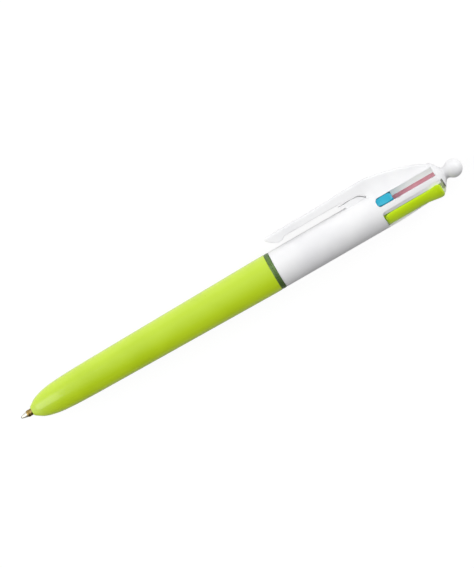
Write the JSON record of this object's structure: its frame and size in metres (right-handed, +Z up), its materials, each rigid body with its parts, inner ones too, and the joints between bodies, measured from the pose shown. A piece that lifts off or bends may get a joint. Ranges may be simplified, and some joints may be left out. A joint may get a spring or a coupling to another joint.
{
  "type": "multicolour click pen",
  "caption": "Click pen with four colour sliders, a screw-off barrel, a pocket clip and a round end knob, lying with one colour pressed out.",
  "frame": {"origin": "centre of the nose's end face, on the pen's axis", "axes": "+X along the pen's axis from the nose to the tail; +Z up, with the pen lying on its barrel and clip; the clip points sideways along +Y and a little down"},
  "size_m": [0.1489, 0.0163, 0.0116],
  "materials": {
    "lime_shell": "gloss",
    "white_shell": "satin gloss",
    "insert_plastic": "matt",
    "ring_metal": "polished",
    "turquoise_plastic": "gloss",
    "lime_plastic": "gloss",
    "pink_plastic": "gloss",
    "purple_plastic": "gloss",
    "tube_plastic": "translucent satin",
    "turquoise_ink": "wet",
    "lime_ink": "wet",
    "pink_ink": "wet",
    "purple_ink": "wet",
    "tip_brass": "turned",
    "point_steel": "turned",
    "ball_carbide": "polished",
    "spring_steel": "drawn wire"
  },
  "bodies": {
    "upper_barrel": {"upper_barrel": "white_shell", "clip_root": "white_shell", "threaded_insert": "insert_plastic", "spring_seat": "insert_plastic", "core_rod": "insert_plastic", "ball_finial": "white_shell", "spring_turquoise": "spring_steel", "spring_lime": "spring_steel", "spring_pink": "spring_steel", "spring_purple": "spring_steel"},
    "joint_ring": {"joint_ring": "ring_metal"},
    "lower_barrel": {"lower_barrel": "lime_shell"},
    "clip_arm": {"clip_arm": "white_shell"},
    "slider_turquoise": {"slider_turquoise": "turquoise_plastic"},
    "refill_turquoise": {"refill_tube_turquoise": "tube_plastic", "ink_turquoise": "turquoise_ink", "tip_holder_turquoise": "tip_brass", "point_cone_turquoise": "point_steel", "writing_ball_turquoise": "ball_carbide"},
    "slider_lime": {"slider_lime": "lime_plastic"},
    "refill_lime": {"refill_tube_lime": "tube_plastic", "ink_lime": "lime_ink", "tip_holder_lime": "tip_brass", "point_cone_lime": "point_steel", "writing_ball_lime": "ball_carbide"},
    "slider_pink": {"slider_pink": "pink_plastic"},
    "refill_pink": {"refill_tube_pink": "tube_plastic", "ink_pink": "pink_ink", "tip_holder_pink": "tip_brass", "point_cone_pink": "point_steel", "writing_ball_pink": "ball_carbide"},
    "slider_purple": {"slider_purple": "purple_plastic"},
    "refill_purple": {"refill_tube_purple": "tube_plastic", "ink_purple": "purple_ink", "tip_holder_purple": "tip_brass", "point_cone_purple": "point_steel", "writing_ball_purple": "ball_carbide"}
  },
  "joints": [
    {"name": "barrel_unscrew", "type": "slide", "parent": "upper_barrel", "child": "joint_ring", "axis": [-1, 0, 0], "range_m": [0, 0.009]},
    {"name": "barrel_turn", "type": "hinge", "parent": "joint_ring", "child": "lower_barrel", "pos_m": [0, 0, 0], "axis": [-1, 0, 0], "range_deg": [0, 1296.01]},
    {"name": "clip_flex", "type": "hinge", "parent": "upper_barrel", "child": "clip_arm", "pos_m": [0.1168, 0.00987, -0.00359], "axis": [0, -0.3419, -0.9397], "range_deg": [0, 5], "stiffness_Nm_per_rad": 1.5, "springref_deg": -0.57},
    {"name": "turquoise_slide", "type": "slide", "parent": "upper_barrel", "child": "slider_turquoise", "axis": [-1, 0, 0], "range_m": [-0.0138, 0], "deforming": ["refill_tube_turquoise", "ink_turquoise", "tip_holder_turquoise", "point_cone_turquoise", "writing_ball_turquoise", "spring_turquoise"]},
    {"name": "turquoise_refill_bend", "type": "hinge", "parent": "slider_turquoise", "child": "refill_turquoise", "pos_m": [0.0971, 0.00263, 0.00123], "axis": [0, -0.4227, 0.9063], "range_deg": [-1.46, 0]},
    {"name": "lime_slide", "type": "slide", "parent": "upper_barrel", "child": "slider_lime", "axis": [-1, 0, 0], "range_m": [0, 0.0138], "stiffness_N_per_m": 60, "springref_m": -0.005, "deforming": ["refill_tube_lime", "ink_lime", "tip_holder_lime", "point_cone_lime", "writing_ball_lime", "spring_lime"]},
    {"name": "lime_refill_bend", "type": "hinge", "parent": "slider_lime", "child": "refill_lime", "pos_m": [0.1109, -0.00123, 0.00263], "axis": [0, -0.9063, -0.4227], "range_deg": [0, 1.46]},
    {"name": "pink_slide", "type": "slide", "parent": "upper_barrel", "child": "slider_pink", "axis": [-1, 0, 0], "range_m": [0, 0.0138], "stiffness_N_per_m": 60, "springref_m": -0.005, "deforming": ["refill_tube_pink", "ink_pink", "tip_holder_pink", "point_cone_pink", "writing_ball_pink", "spring_pink"]},
    {"name": "pink_refill_bend", "type": "hinge", "parent": "slider_pink", "child": "refill_pink", "pos_m": [0.1109, 0.00123, -0.00263], "axis": [0, 0.9063, 0.4227], "range_deg": [0, 1.46]},
    {"name": "purple_slide", "type": "slide", "parent": "upper_barrel", "child": "slider_purple", "axis": [-1, 0, 0], "range_m": [0, 0.0138], "stiffness_N_per_m": 60, "springref_m": -0.005, "deforming": ["refill_tube_purple", "ink_purple", "tip_holder_purple", "point_cone_purple", "writing_ball_purple", "spring_purple"]},
    {"name": "purple_refill_bend", "type": "hinge", "parent": "slider_purple", "child": "refill_purple", "pos_m": [0.1109, -0.00263, -0.00123], "axis": [0, 0.4227, -0.9063], "range_deg": [0, 1.46]}
  ],
  "couplings": [
    {"joint": "barrel_turn", "follows": "barrel_unscrew", "rad_per_m": 2513.3},
    {"joint": "turquoise_refill_bend", "follows": "turquoise_slide", "rad_per_m": 1.8519},
    {"joint": "lime_refill_bend", "follows": "lime_slide", "rad_per_m": 1.8519},
    {"joint": "pink_refill_bend", "follows": "pink_slide", "rad_per_m": 1.8519},
    {"joint": "purple_refill_bend", "follows": "purple_slide", "rad_per_m": 1.8519}
  ]
}
